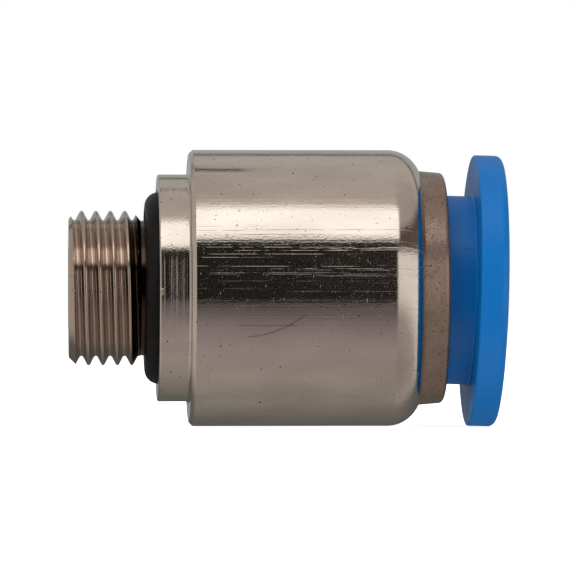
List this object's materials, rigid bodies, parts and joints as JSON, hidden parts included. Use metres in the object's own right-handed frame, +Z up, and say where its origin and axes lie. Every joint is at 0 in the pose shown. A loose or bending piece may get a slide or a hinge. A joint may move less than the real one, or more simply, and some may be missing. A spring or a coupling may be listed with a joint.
{
  "type": "push to connect fitting",
  "caption": "Straight push to connect tube fitting: a threaded stud with a face seal, a round barrel and a release ring that frees the tube when pushed.",
  "frame": {"origin": "centre of the collar's face that lands on the port, on the axis of the stud", "axes": "+X along the axis from the stud to the tube end, +Z up, +Y away from the front view"},
  "size_m": [0.0273, 0.0174, 0.0174],
  "materials": {
    "plated_brass": "nickel-plated drawn and turned brass, warm grey, semi-bright",
    "seal_rubber": "matt black nitrile rubber",
    "support_plastic": "natural acetal, off-white",
    "spring_steel": "cold-rolled stainless spring strip",
    "bronze_plastic": "matt brown with fine metallic specks and small pits",
    "blue_plastic": "moulded blue acetal, soft sheen"
  },
  "bodies": {
    "fitting_body": {"body": "plated_brass", "port_o_ring": "seal_rubber", "tube_seal": "seal_rubber", "support_ring": "support_plastic", "guide_ring": "bronze_plastic"},
    "claw_ring": {"claw_ring": "spring_steel"},
    "claw_01": {"claw_01": "spring_steel"},
    "claw_02": {"claw_02": "spring_steel"},
    "claw_03": {"claw_03": "spring_steel"},
    "claw_04": {"claw_04": "spring_steel"},
    "claw_05": {"claw_05": "spring_steel"},
    "claw_06": {"claw_06": "spring_steel"},
    "claw_07": {"claw_07": "spring_steel"},
    "claw_08": {"claw_08": "spring_steel"},
    "claw_09": {"claw_09": "spring_steel"},
    "claw_10": {"claw_10": "spring_steel"},
    "claw_11": {"claw_11": "spring_steel"},
    "claw_12": {"claw_12": "spring_steel"},
    "release_ring": {"release_ring": "blue_plastic"}
  },
  "joints": [
    {"name": "claw_ring_swivel", "type": "hinge", "parent": "fitting_body", "child": "claw_ring", "pos_m": [0.01196, 0, 0], "axis": [1, 0, 0], "continuous": true},
    {"name": "release_ring_slide", "type": "slide", "parent": "claw_ring", "child": "release_ring", "axis": [-0.9997, 0, 0.0253], "range_m": [0, 0.0015], "stiffness_N_per_m": 4000},
    {"name": "claw_01_bend", "type": "hinge", "parent": "claw_ring", "child": "claw_01", "pos_m": [0.012, 0, 0.0067], "axis": [0, 1, 0], "range_deg": [0, 12]},
    {"name": "claw_02_bend", "type": "hinge", "parent": "claw_ring", "child": "claw_02", "pos_m": [0.012, -0.00335, 0.0058], "axis": [0, 0.866, 0.5], "range_deg": [0, 12]},
    {"name": "claw_03_bend", "type": "hinge", "parent": "claw_ring", "child": "claw_03", "pos_m": [0.012, -0.0058, 0.00335], "axis": [0, 0.5, 0.866], "range_deg": [0, 12]},
    {"name": "claw_04_bend", "type": "hinge", "parent": "claw_ring", "child": "claw_04", "pos_m": [0.012, -0.0067, 0], "axis": [0, 0, 1], "range_deg": [0, 12]},
    {"name": "claw_05_bend", "type": "hinge", "parent": "claw_ring", "child": "claw_05", "pos_m": [0.012, -0.0058, -0.00335], "axis": [0, -0.5, 0.866], "range_deg": [0, 12]},
    {"name": "claw_06_bend", "type": "hinge", "parent": "claw_ring", "child": "claw_06", "pos_m": [0.012, -0.00335, -0.0058], "axis": [0, -0.866, 0.5], "range_deg": [0, 12]},
    {"name": "claw_07_bend", "type": "hinge", "parent": "claw_ring", "child": "claw_07", "pos_m": [0.012, 0, -0.0067], "axis": [0, -1, 0], "range_deg": [0, 12]},
    {"name": "claw_08_bend", "type": "hinge", "parent": "claw_ring", "child": "claw_08", "pos_m": [0.012, 0.00335, -0.0058], "axis": [0, -0.866, -0.5], "range_deg": [0, 12]},
    {"name": "claw_09_bend", "type": "hinge", "parent": "claw_ring", "child": "claw_09", "pos_m": [0.012, 0.0058, -0.00335], "axis": [0, -0.5, -0.866], "range_deg": [0, 12]},
    {"name": "claw_10_bend", "type": "hinge", "parent": "claw_ring", "child": "claw_10", "pos_m": [0.012, 0.0067, 0], "axis": [0, 0, -1], "range_deg": [0, 12]},
    {"name": "claw_11_bend", "type": "hinge", "parent": "claw_ring", "child": "claw_11", "pos_m": [0.012, 0.0058, 0.00335], "axis": [0, 0.5, -0.866], "range_deg": [0, 12]},
    {"name": "claw_12_bend", "type": "hinge", "parent": "claw_ring", "child": "claw_12", "pos_m": [0.012, 0.00335, 0.0058], "axis": [0, 0.866, -0.5], "range_deg": [0, 12]}
  ],
  "couplings": [
    {"joint": "claw_01_bend", "follows": "release_ring_slide", "rad_per_m": 139.63},
    {"joint": "claw_02_bend", "follows": "release_ring_slide", "rad_per_m": 139.63},
    {"joint": "claw_03_bend", "follows": "release_ring_slide", "rad_per_m": 139.63},
    {"joint": "claw_04_bend", "follows": "release_ring_slide", "rad_per_m": 139.63},
    {"joint": "claw_05_bend", "follows": "release_ring_slide", "rad_per_m": 139.63},
    {"joint": "claw_06_bend", "follows": "release_ring_slide", "rad_per_m": 139.63},
    {"joint": "claw_07_bend", "follows": "release_ring_slide", "rad_per_m": 139.63},
    {"joint": "claw_08_bend", "follows": "release_ring_slide", "rad_per_m": 139.63},
    {"joint": "claw_09_bend", "follows": "release_ring_slide", "rad_per_m": 139.63},
    {"joint": "claw_10_bend", "follows": "release_ring_slide", "rad_per_m": 139.63},
    {"joint": "claw_11_bend", "follows": "release_ring_slide", "rad_per_m": 139.63},
    {"joint": "claw_12_bend", "follows": "release_ring_slide", "rad_per_m": 139.63}
  ]
}
